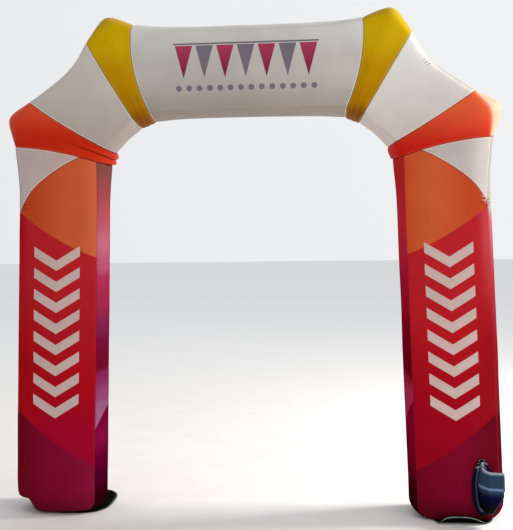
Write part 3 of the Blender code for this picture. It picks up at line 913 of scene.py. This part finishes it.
# Paint and cloth of each kind of panel.  Much of it is painted light, which falls from the right:
# the outer panels on the right face the light at the far right and carry a painted highlight on
# the orange and painted shade on the white slant.
FINISHES = {
    # the white slants darken low down as painted shade, and the right one is lighter throughout
    # as painted light
    "slant_left": (paint_heights((2.95, (178, 165, 157)), (3.70, (212, 203, 194))), WHITE_CLOTH),
    "slant_right": (paint_heights((2.95, (212, 201, 193)), (3.70, (229, 226, 222))), WHITE_CLOTH),
    # the right slant's outer panel faces the light and is painted greyer, as painted shade
    "slant_outer_shaded": (paint_heights((3.20, (172, 168, 162)), (3.80, (180, 180, 174))),
                       WHITE_CLOTH),
    "beam": (paint_beam, WHITE_CLOTH),
    "beam_side": (paint_beam_side, WHITE_CLOTH),
    "corner_left": (toward_seam((194, 178, 174), (202, 175, 168), 0.6), CORNER_CLOTH),
    # the right corner piece is lighter beside its outer seam, as painted light
    "corner_right": (toward_seam((222, 214, 208), (193, 182, 177), 0.35), CORNER_CLOTH),
    "orange_left": (paint_heights(
        (2.86, (210, 48, 16)), (3.02, (202, 38, 12)), (3.32, (228, 77, 44))), ORANGE_CLOTH),
    "orange_right": (paint_heights((2.86, (200, 20, 10)), (3.30, (231, 94, 55))), ORANGE_CLOTH),
    # the right orange elbow's outer panel turns cream away from its seam: a painted highlight
    # where it faces the light
    "orange_outer_highlit": (toward_seam((214, 98, 66), (192, 162, 140), 0.07), ORANGE_CLOTH),
    # the yellow darkens low down, towards the elbows' inner end, as painted shade
    "yellow": (paint_heights(
        (3.18, (136, 78, 0)), (3.30, (176, 122, 0)), (3.50, (190, 140, 0)),
        (3.80, (209, 170, 2))), YELLOW_CLOTH),
    # the yellow elbows' outer panels are darker towards the top, as painted shade against the
    # light
    "yellow_top": (paint_heights((3.70, (206, 168, 8)), (4.05, (192, 156, 4))), YELLOW_CLOTH),
    "leg_left": (leg_front(LEFT_SHADES), LEG_CLOTH),
    "leg_right": (leg_front(RIGHT_SHADES), LEG_CLOTH),
    "leg_inner_left": (leg_inner(LEFT_INNER, LEFT_FACET, 0.80), LEG_SIDE_CLOTH),
    "leg_inner_right": (leg_inner(RIGHT_INNER, RIGHT_FACET, 1.0), LEG_SIDE_CLOTH),
    # plum, red and, beside the corner pieces, a greyish white; the right one is dark low down as
    # painted shade and paler pink higher up as painted highlight
    "leg_outer_left": (paint_heights(
        (0.83, (124, 2, 34)), (0.85, (174, 2, 18)), (2.44, (184, 30, 40)),
        (2.46, (194, 178, 174))), LEG_SIDE_CLOTH),
    "leg_outer_right": (paint_heights(
        (0.80, (78, 5, 23)), (0.90, (105, 14, 25)), (1.30, (112, 18, 28)),
        (1.80, (131, 39, 47)), (2.33, (150, 83, 91)), (2.46, (153, 146, 143))),
        LEG_SIDE_CLOTH),
    "pad": (paint_pad, PAD_CLOTH),
    "sleeve": (paint_sleeve, NAVY_CLOTH),
    "collar": (paint_collar, NAVY_CLOTH),
}
MATERIALS = {kind: cloth_finish(f"{kind}_cloth_fine", paint, cloth)
             for kind, (paint, cloth) in FINISHES.items()}


# ---------------------------------------------------------------- panels

TIP_WELD = 0.0002          # points nearer than this are joined at a pointed tip
SEAM_WELD = 0.00005        # and where a closed piece meets itself
MARKS = ("cloth", "seams", "print_place")   # names under which materials read three numbers


def grid_mesh(name, points, marks, facing, hand):
    """Mesh over a grid of points, its faces turned the way that facing says."""
    shape = points.shape[:2]
    index = np.arange(shape[0] * shape[1]).reshape(shape)
    quads = np.stack([index[:-1, :-1], index[1:, :-1], index[1:, 1:], index[:-1, 1:]],
                     axis=-1).reshape(-1, 4)
    flip = np.array([hand, 1, 1])
    flat = (points * flip + np.array(ARCH_MIDDLE)).reshape(-1, 3)
    first = flat[quads[:, 2]] - flat[quads[:, 0]]
    second = flat[quads[:, 3]] - flat[quads[:, 1]]
    if np.cross(first, second).sum(axis=0) @ (facing * flip) < 0:
        quads = quads[:, ::-1]
    mesh = bpy.data.meshes.new(f"{name}_cloth")
    mesh.from_pydata(flat.tolist(), [], quads.tolist())
    for key, values in zip(MARKS, marks):
        layer = mesh.attributes.new(key, "FLOAT_VECTOR", "POINT")
        numbers = np.stack([np.broadcast_to(value, shape) for value in values], axis=-1)
        layer.data.foreach_set("vector", numbers.astype(np.float32).ravel())
    mesh.validate()
    mesh.shade_smooth()
    return mesh


def weld(mesh, distance, turn_out=False):
    """Join points that lie on each other, such as at a pointed tip."""
    work = bmesh.new()
    work.from_mesh(mesh)
    bmesh.ops.remove_doubles(work, verts=work.verts, dist=distance)
    bmesh.ops.dissolve_degenerate(work, edges=work.edges, dist=distance / 10)
    if turn_out:
        bmesh.ops.recalc_face_normals(work, faces=work.faces)
    work.to_mesh(mesh)
    work.free()


def area_of(points):
    """Area of a grid of points."""
    first = points[1:, 1:] - points[:-1, :-1]
    second = points[:-1, 1:] - points[1:, :-1]
    return float(np.linalg.norm(np.cross(first, second), axis=-1).sum() / 2)


def add_piece(name, mesh, material):
    """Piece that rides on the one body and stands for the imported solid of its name."""
    mesh.materials.append(material)
    piece = bpy.data.objects.new(f"{name}_cloth", mesh)
    bpy.context.scene.collection.objects.link(piece)
    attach(piece, "root")
    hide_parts(name)
    return piece


# Heights of a cloth's broad unevenness and of the puckers at its seams.
Wear = namedtuple("Wear", "broad pucker seed")


def add_panel(name, points, section, across, wear, kind, slot, hand,
              low_seam=True, rolls=None, soft_edges=(None, None), tip=False):
    """One cloth panel: a grid of points, made uneven and finished.

    points are columns by rows.  section holds the cross section at each point and across its
    place over the panel.  rolls are the height and shade of an elbow's gathers.  soft_edges
    says how far the cloth runs inside the tube's corner at the panel's first and last edge,
    where it rounds the corner without a seam; None is a seam.
    """
    along = lengths(points, 1)
    over = lengths(points, 0)
    from_low = along * slant_of(points, 0, 1)[:, None] + (0.0 if low_seam else FAR)
    from_high = (along[:, -1:] - along) * slant_of(points, -1, -1)[:, None]
    from_edges = (over, over[-1:] - over)
    from_long = np.minimum(*(edge if inset is None else edge + FAR
                             for edge, inset in zip(from_edges, soft_edges)))
    nearest = np.minimum(np.minimum(from_low, from_high), from_long)

    outward = points.copy()
    outward[..., 0] -= (section.outer_x + section.inner_x) / 2
    outward[..., 2] -= (section.outer_z + section.inner_z) / 2
    outward /= np.linalg.norm(outward, axis=-1, keepdims=True)

    spots = points * np.array([hand, 1, 1])
    broad = noise(spots, BROAD_CELL, wear.seed)
    broad += BROAD_FINE_SHARE * noise(spots, BROAD_FINE_CELL, wear.seed + 5)
    height = CLOTH + smooth_step(0.0, SEAM_CALM, nearest) * wear.broad * broad
    for distance, line, step in ((from_long, along, 20), (from_low, over, 30),
                                 (from_high, over, 40)):
        height += wear.pucker * puckers(distance, line, wear.seed + step)
    height -= GROOVE_DEPTH * np.exp(-(nearest / GROOVE_WIDTH) ** 2)
    pressed = creased(points, hand)
    height += pressed
    fold = pressed / FOLD_HEIGHT
    if rolls is not None:
        height += rolls[0]
        fold -= rolls[1]
    for edge, inset in zip(from_edges, soft_edges):
        if inset is not None:
            height -= inset * np.exp(-edge / EDGE_SOFTNESS)
    moved = points + outward * height[..., None]

    marks = ((over, along, from_long), (from_low, from_high, fold), (across, 0.0, 0.0))
    mesh = grid_mesh(name, moved, marks, outward.mean(axis=(0, 1)), hand)
    if tip:
        weld(mesh, TIP_WELD)
    piece = add_piece(name, mesh, MATERIALS[kind])
    # a gathered panel is cut longer than the tube, by the cloth that its rolls take up
    cut = points if rolls is None else moved
    widths = lengths(cut, 0)[-1]
    flat = (float(widths.min() if tip else np.median(widths)), float(lengths(cut, 1).max()))
    min(area_of(cut), flat[0] * flat[1])


def add_run(name, table, row_count, wear, kinds, slot, hand, gather=None):
    """Four panels of one run between two seams that go across the tube.

    kinds are the cloths of the front and back, the outer and the inner panel.
    """
    rows = spaced(row_count)
    face, outer, inner = kinds
    for label, kind in (("front", face), ("back", face), ("outer", outer), ("inner", inner)):
        is_face = label in ("front", "back")
        across, share = np.meshgrid(FACE_ACROSS if is_face else SIDE_ACROSS, rows, indexing="ij")
        section = read(table, share)
        outer_edge, inner_edge = edge_insets(section)
        if gather is None:
            inner_edge = None
        soft_edges = (inner_edge if label == "inner" else outer_edge,
                      outer_edge if label == "outer" else inner_edge)
        rolls = None
        if gather is not None and label != "outer":
            inward = across if is_face else np.ones_like(across)
            depth_share = np.zeros_like(across) if is_face else np.minimum(across, 1 - across)
            rolls = gathered(gather, share, inward, depth_share)
        add_panel(f"{name}_{label}", panel_points(label, section, across), section, across, wear,
                  kind, slot, hand, rolls=rolls, soft_edges=soft_edges)


def corner_foot_at(across):
    """Share of the leg at which the corner piece's lower edge lies."""
    left = np.maximum(0.0, 1 - across / CORNER_REACH)
    drop = CORNER_STRAIGHT * left + (1 - CORNER_STRAIGHT) * left**CORNER_BEND
    return 1 - (1 - CORNER_FOOT) * drop


TUCK_BEGIN = 1.765         # the left foot's outer end is drawn up from here outwards
TUCK_FULL = 1.865
TUCK_LIFT = 0.100
TUCK_IN = 0.022
TUCK_TOP = 0.360


def tucked(points):
    """Points of the left leg with the outer end of its foot drawn up off the ground."""
    share = smooth_step(TUCK_BEGIN, TUCK_FULL, points[..., 0])
    share = share * (1 - np.clip(points[..., 2] / TUCK_TOP, 0, 1)) ** 2
    return points + share[..., None] * np.array([-TUCK_IN, 0.0, TUCK_LIFT])


def add_leg(side_name, wear):
    """Leg: four panels and the two white corner pieces let into the front and back."""
    curl = np.linspace(-1, 0, CURL_ROWS, endpoint=False)
    rise = np.concatenate([
        np.linspace(0, LEG_FINE_FROM, LEG_ROWS, endpoint=False),
        spaced(LEG_FINE_ROWS, LEG_FINE_FROM, 1.0, tight_low=False)])
    corner_rise = spaced(CORNER_ROWS) ** CORNER_ROW_LEAN

    def add(label, columns, place, kind, slot="red_cloth", **options):
        across, place = np.broadcast_arrays(columns[:, None], place)
        section = leg_sections(place, side_name)
        points = panel_points(label.split("_")[-1], section, across)
        if side_name == "left":
            points = tucked(points)
        add_panel(f"leg_{side_name}_{label}", points, section, across, wear,
                  f"{kind}_{side_name}", slot, HANDS[side_name], **options)

    tops = corner_foot_at(FACE_ACROSS)
    feet = corner_foot_at(CORNER_ACROSS)[:, None]
    for label in ("front", "back"):
        add(label, FACE_ACROSS, np.stack([np.concatenate([curl, rise * top]) for top in tops]),
            "leg", low_seam=False)
        add(f"corner_{label}", CORNER_ACROSS, feet + corner_rise * (1 - feet),
            "corner", "white_cloth", tip=True)
    beside_corner = CORNER_FOOT + corner_rise[1:] * (1 - CORNER_FOOT)
    add("outer", SIDE_ACROSS, np.concatenate([curl, rise * CORNER_FOOT, beside_corner]),
        "leg_outer", low_seam=False)
    add("inner", SIDE_ACROSS, np.concatenate([curl, rise]), "leg_inner", low_seam=False)


for side_name, hand in HANDS.items():
    on_right = side_name == "right"
    seed = 60 if on_right else 10
    orange = f"orange_{side_name}"
    white = f"slant_{side_name}"
    add_leg(side_name, Wear(0.0022, 0.0008, seed))
    add_run(f"lower_elbow_{side_name}", elbow_table(LOWER_ELBOW), ELBOW_ROWS,
            Wear(0.0022, 0.0010, seed + 2),
            (orange, "orange_outer_highlit" if on_right else orange, orange), "orange_cloth", hand,
            RIGHT_LOWER if on_right else LEFT_LOWER)
    add_run(f"slant_{side_name}", straight_table(SLANT), SLANT_ROWS,
            Wear(0.0030, 0.0010, seed + 1),
            (white, "slant_outer_shaded" if on_right else white, white), "white_cloth", hand)
    add_run(f"upper_elbow_{side_name}", elbow_table(UPPER_ELBOW), ELBOW_ROWS,
            Wear(0.0022, 0.0010, seed + 3), ("yellow", "yellow_top", "yellow"), "yellow_cloth",
            hand, UPPER)

other_half = tuple(row._replace(outer_x=-row.outer_x, inner_x=-row.inner_x, bow=-row.bow)
                   for row in reversed(HALF_BEAM[:-1]))
add_run("beam", straight_table(HALF_BEAM + other_half), BEAM_ROWS, Wear(0.0030, 0.0010, 40),
        ("beam", "beam_side", "beam_side"), "white_cloth", 1)


# ---------------------------------------------------------------- ground pads

PAD_TURNS = 144
PAD_RINGS = 38
PAD_CURL = 0.008           # the free edge of a pad lifts off the ground by this much
PAD_CURL_WIDTH = 0.110
PAD_WAVE_SHARE = 0.2       # part of that which comes and goes round the edge
PAD_WAVE_CELL = 0.25       # in radians
LIP_START = 0.290          # the right pad's front is folded up from this depth
LIP_RADIUS = 0.052
LIP_CORNER = (1.390, 1.500)   # the fold grows between these widths
DRAWN_IN = (1.380, 1.450)  # left of these widths the right pad's front lies under the leg,
DRAWN_FROM = 0.100         # drawn in to a share of its reach beyond a depth
DRAWN_SHARE = 0.25
FOOT_HALF_LENGTH = 0.285   # a leg's footprint, which keeps the pad flat
FOOT_HALF_DEPTH = 0.215
FOOT_CENTRE = 1.615


def closed_piece(name, points, marks, kind, thickness=None):
    """Piece over a grid that closes on itself, given a thickness inwards if one is named."""
    mesh = grid_mesh(name, points, marks, np.zeros(3), 1)
    weld(mesh, SEAM_WELD, turn_out=True)
    piece = add_piece(name, mesh, MATERIALS[kind])
    if thickness is not None:
        shell = piece.modifiers.new("cloth", "SOLIDIFY")
        shell.thickness = thickness
        shell.offset = -1.0
    return piece


def squared(wave, half):
    """Half an extent times a sine or cosine, drawn out towards the corners."""
    return half * np.sign(wave) * np.abs(wave) ** (2 / PAD_SQUARENESS)


def add_pad(side_name):
    """Ground pad: a black sheet with rounded corners and a bound edge that curls up a little."""
    centre_x, centre_y = PAD_SPOTS[side_name]
    turns, rings = np.meshgrid(np.linspace(0, 2 * math.pi, PAD_TURNS + 1),
                               1 - spaced(PAD_RINGS, tight_high=False), indexing="ij")
    rim_x = squared(np.cos(turns), PAD_HALF_LENGTH)
    rim_y = squared(np.sin(turns), PAD_HALF_DEPTH)
    x = centre_x + rim_x * rings
    y = centre_y + rim_y * rings
    foot_x = math.copysign(FOOT_CENTRE, centre_x)
    clear = np.maximum(np.abs(x - foot_x) - FOOT_HALF_LENGTH, np.abs(y) - FOOT_HALF_DEPTH)
    wave = 1 - PAD_WAVE_SHARE + PAD_WAVE_SHARE * ripple(turns, PAD_WAVE_CELL, 71)
    z = PAD_THICKNESS + PAD_CURL * smooth_step(0.0, PAD_CURL_WIDTH, clear) * wave
    past_fold = -FAR
    if side_name == "right":
        kept = DRAWN_SHARE + (1 - DRAWN_SHARE) * smooth_step(*DRAWN_IN, x)
        y = np.where(y < -DRAWN_FROM, -DRAWN_FROM + (y + DRAWN_FROM) * kept, y)
        past_fold = -y - LIP_START
        angle = np.maximum(past_fold, 0) / LIP_RADIUS * smooth_step(*LIP_CORNER, x)
        y = np.where(past_fold > 0, -LIP_START - past_fold * np.cos(angle / 2), y)
        z = z + np.maximum(past_fold, 0) * np.sin(angle / 2)
    points = np.stack([x, y, z], axis=-1)
    from_rim = (1 - rings) * np.hypot(rim_x, rim_y)
    along = turns * (PAD_HALF_LENGTH + PAD_HALF_DEPTH) / 2
    marks = ((along, from_rim, FAR), (FAR, from_rim, 0.0), (0.0, past_fold, 0.0))
    piece = closed_piece(f"pad_{side_name}", points, marks, "pad", PAD_THICKNESS)
    area_of(points)


for side_name in PAD_SPOTS:
    add_pad(side_name)


# ---------------------------------------------------------------- air sleeve

SLEEVE_TURNS = 136
NECK_RINGS = 48
BARREL_RINGS = 32
# radians from the top to the crease in the sleeve's near side, at the neck and at the mouth
CREASE_TURN = (1.24, 1.26)
CREASE_HEIGHT = 0.007
CREASE_WIDTH = 0.16
CREASE_FROM = (0.03, 0.10)   # distances along the sleeve between which the crease grows
# distance along the sleeve from which the crease carries its painted highlight
CREASE_HIGHLIGHT_FROM = 0.05
LOOSE_FROM = (0.02, 0.08)    # distances between which the cloth grows loose
LOOSE_HEIGHT = 0.0040
LOOSE_CELL = 0.055
LOOSE_STRETCH = 0.35         # its folds are longer along the sleeve: cells per cell across
GATHER_HEIGHT = 0.0030       # gathers round the neck
NECK_CELL = 0.017
NECK_STRETCH = 0.2
GATHER_PLACE = 0.035         # distance at which they are highest, and how far they reach
NECK_IN_LEG = 0.001


def leg_front_depth(x, height):
    """Depth of the right leg's front panel at places on it."""
    section = leg_sections((height - LEG_START) / (LEG_TOP - LEG_START), "right")
    across = (section.outer_x - x) / (section.outer_x - section.inner_x)
    return face_points(section, across, -1)[..., 1] - CLOTH


def add_sleeve():
    """Navy air sleeve: a flat neck that bends aside and widens to a limp, open end."""
    hoops = np.array(NECK)
    at_hoops = lengths(hoops[:, :3])
    neck = smooth_curve(hoops, at_hoops, np.gradient(hoops, at_hoops, axis=0),
                        np.linspace(0, at_hoops[-1], NECK_RINGS, endpoint=False))
    barrel = spaced(BARREL_RINGS, tight_low=False)
    rings = np.concatenate([neck, np.repeat(hoops[-1:], len(barrel), axis=0)])
    past_neck = np.concatenate([np.zeros(len(neck)), barrel])
    ring = Hoop(*rings.T)
    angle = np.radians(np.clip(ring.turn, 0, NECK[-1].turn))
    ahead = np.stack([np.sin(angle), -np.cos(angle), np.zeros_like(angle)], axis=-1)
    beside = np.stack([-np.cos(angle), -np.sin(angle), np.zeros_like(angle)], axis=-1)
    distance = lengths(rings[:, :3] + ahead * SLEEVE_LENGTH * past_neck[:, None])
    turns, shares = np.meshgrid(np.linspace(0, 2 * math.pi, SLEEVE_TURNS + 1), past_neck,
                                indexing="ij")

    from_crease = turns - (CREASE_TURN[0] + (CREASE_TURN[1] - CREASE_TURN[0])
                           * distance / distance[-1])
    swell = CREASE_HEIGHT * np.exp(-np.abs(from_crease) / CREASE_WIDTH)
    swell = swell * smooth_step(*CREASE_FROM, distance)
    radius = NECK[0].high
    spots = np.stack([np.cos(turns) * radius, np.sin(turns) * radius,
                      np.broadcast_to(distance, turns.shape)], axis=-1)
    loose = noise(spots * np.array([1.0, 1.0, LOOSE_STRETCH]), LOOSE_CELL, 81)
    swell += smooth_step(*LOOSE_FROM, distance) * LOOSE_HEIGHT * loose
    gathers = noise(spots * np.array([1.0, 1.0, NECK_STRETCH]), NECK_CELL, 82)
    swell += GATHER_HEIGHT * gathers * np.exp(-np.abs(distance - GATHER_PLACE) / GATHER_PLACE)
    up = np.array([0.0, 0.0, 1.0])
    points = (rings[None, :, :3] + up * ((radius + swell) * np.cos(turns))[..., None]
              + beside * ((ring.deep + swell) * np.sin(turns))[..., None])
    below = np.maximum(0.0, -np.cos(turns))
    points += ahead * (SLEEVE_LENGTH * shares * (1 - SLEEVE_CUT * below))[..., None]
    points[:, 0, 1] = leg_front_depth(points[:, 0, 0], points[:, 0, 2]) - NECK_IN_LEG

    along = lengths(points, 1)
    over = lengths(points, 0)
    # place of the painted highlight along the crease
    crease_highlit = np.where(distance > CREASE_HIGHLIGHT_FROM, from_crease, FAR)
    marks = ((over, along, FAR), (FAR, along[:, -1:] - along, 0.0), (crease_highlit, -np.cos(turns), 0.0))
    piece = closed_piece("sleeve", points, marks, "sleeve", CLOTH)
    flat = (float(over[-1].max()), float(along.max()))
    min(area_of(points), flat[0] * flat[1])


COLLAR_TURNS = 280
COLLAR_SIDES = 34
COLLAR_GAP = 0.0003        # between the collar and the sleeve inside it
COLLAR_OFF_LEG = 0.0025
COLLAR_CELL = 0.012        # gathers round the collar, fine and broad
COLLAR_BROAD_CELL = 0.026
CRUMPLE_TURN = 0.10        # radians from the top to the middle of the crumples
CRUMPLED = (0.72, 0.98)    # cosines of the turn away from there between which they grow
WOBBLE = 0.0010            # unevenness of the collar's rim, and what the crumples add to it
CRUMPLE_WOBBLE = 0.0040
WOBBLE_CELL = 0.020
PUFF = 0.78                # share of half the thickness, and what gathers and crumples add
GATHER_PUFF = 0.20
CRUMPLE_PUFF = 0.55


def add_collar():
    """Gathered oval collar on the leg's front, crumpled on top."""
    neck = NECK[0]
    turns, sides = np.meshgrid(np.linspace(0, 2 * math.pi, COLLAR_TURNS + 1),
                               np.linspace(0, 2 * math.pi, COLLAR_SIDES + 1), indexing="ij")
    ring = np.stack([neck.deep * np.sin(turns), neck.high * np.cos(turns),
                     np.zeros_like(turns)], axis=-1)
    gathers = noise(ring, COLLAR_CELL, 91) + 0.6 * noise(ring, COLLAR_BROAD_CELL, 92)
    crumple = smooth_step(*CRUMPLED, np.cos(turns - CRUMPLE_TURN))
    reach = (1 - np.cos(sides)) / 2
    wobble = (WOBBLE + CRUMPLE_WOBBLE * crumple) * noise(ring, WOBBLE_CELL, 93) * reach
    half_x = neck.deep + COLLAR_GAP + (COLLAR_DEEP - neck.deep) * reach + wobble
    half_z = neck.high + COLLAR_GAP + (COLLAR_HIGH - neck.high) * reach + wobble
    x = neck.x - half_x * np.sin(turns)
    z = neck.z + half_z * np.cos(turns)
    puff = PUFF + (GATHER_PUFF + CRUMPLE_PUFF * crumple) * gathers
    y = leg_front_depth(x, z) - COLLAR_OFF_LEG - COLLAR_THICKNESS / 2 * (1 + puff * np.sin(sides))
    points = np.stack([x, y, z], axis=-1)
    around = lengths(points, 0)
    marks = ((around, reach * (COLLAR_HIGH - neck.high), FAR), (FAR, FAR, 0.0),
             (1 - reach, around, crumple))
    piece = closed_piece("sleeve_collar", points, marks, "collar")


add_sleeve()
add_collar()


# ---------------------------------------------------------------- floor, light and camera

FLOOR_HALF = 40.0


def add_floor():
    """Wide pale floor."""
    mesh = bpy.data.meshes.new("floor")
    corners = [(x * FLOOR_HALF, y * FLOOR_HALF, 0.0)
               for x, y in ((-1, -1), (1, -1), (1, 1), (-1, 1))]
    mesh.from_pydata(corners, [], [(0, 1, 2, 3)])
    floor = bpy.data.objects.new("floor", mesh)
    bpy.context.scene.collection.objects.link(floor)
    finish = Finish("floor_pale", 0.9, 0.1)
    grain = finish.noise(0.35, 3.0)
    near = mix(rise(grain, 0.3, 0.7), (236, 236, 235), (240, 240, 239))
    _, depth, _ = finish.spot()
    finish.feed(finish.shader.inputs["Base Color"],
                mix(rise(depth, 1.0, 12.0), near, (252, 252, 252)))
    mesh.materials.append(finish.material)


LIGHT_TARGET = (0.0, 0.0, 2.4)
LIGHTS = {                 # place from the middle of the arch, size, power and colour
    "key": ((8.0, 1.6, 5.6), 2.4, 900.0, (1.0, 0.96, 0.90)),
    "fill": ((5.0, -7.0, 4.5), 4.0, 120.0, (1.0, 0.98, 0.96)),
}


def add_area_light(name, place, size, power, colour):
    """Soft square light that faces the arch."""
    lamp = bpy.data.lights.new(name, "AREA")
    lamp.shape = "SQUARE"
    lamp.size = size
    lamp.energy = power
    lamp.color = colour
    holder = bpy.data.objects.new(name, lamp)
    holder.location = ARCH_MIDDLE + Vector(place)
    aim = ARCH_MIDDLE + Vector(LIGHT_TARGET) - holder.location
    holder.rotation_euler = aim.to_track_quat("-Z", "Y").to_euler()
    bpy.context.scene.collection.objects.link(holder)


SKY_LEVEL = 0.68
SKY_TILT = (0.10, 0.20, 0.05)      # brighter behind the arch, a little so to the right and above


def add_world():
    """Pale surroundings whose brightness changes softly with direction."""
    world = bpy.data.worlds.new("studio")
    world.use_nodes = True
    tree = world.node_tree
    back = tree.nodes["Background"]
    back.inputs["Color"].default_value = linear(252, 253, 255)
    spot = tree.nodes.new("ShaderNodeTexCoord")
    tilt = tree.nodes.new("ShaderNodeVectorMath")
    tilt.operation = "DOT_PRODUCT"
    tilt.inputs[1].default_value = SKY_TILT
    tree.links.new(spot.outputs["Generated"], tilt.inputs[0])
    level = tree.nodes.new("ShaderNodeMath")
    level.inputs[1].default_value = SKY_LEVEL
    tree.links.new(tilt.outputs["Value"], level.inputs[0])
    tree.links.new(level.outputs[0], back.inputs["Strength"])
    bpy.context.scene.world = world


CAMERA_SPOT = (0.688, -9.031, 2.481)      # from the middle of the arch
CAMERA_YAW = 6.76
CAMERA_PITCH = -0.29
CAMERA_ROLL = -0.92
CAMERA_LENS = 75.4
CAMERA_SHIFT = (0.0987, -0.100)


def add_camera():
    """Camera in front of the arch, a little to its right."""
    data = bpy.data.cameras.new("camera")
    data.sensor_width = 36.0
    data.lens = CAMERA_LENS
    data.shift_x, data.shift_y = CAMERA_SHIFT
    camera = bpy.data.objects.new("camera", data)
    turn = (Matrix.Rotation(math.radians(CAMERA_YAW), 4, "Z")
            @ Matrix.Rotation(math.radians(90 + CAMERA_PITCH), 4, "X")
            @ Matrix.Rotation(math.radians(CAMERA_ROLL), 4, "Z"))
    camera.matrix_world = Matrix.Translation(ARCH_MIDDLE + Vector(CAMERA_SPOT)) @ turn
    bpy.context.scene.collection.objects.link(camera)
    bpy.context.scene.camera = camera


add_floor()
add_world()
for light_name, settings in LIGHTS.items():
    add_area_light(light_name, *settings)
add_camera()
bpy.context.scene.view_settings.view_transform = "Standard"
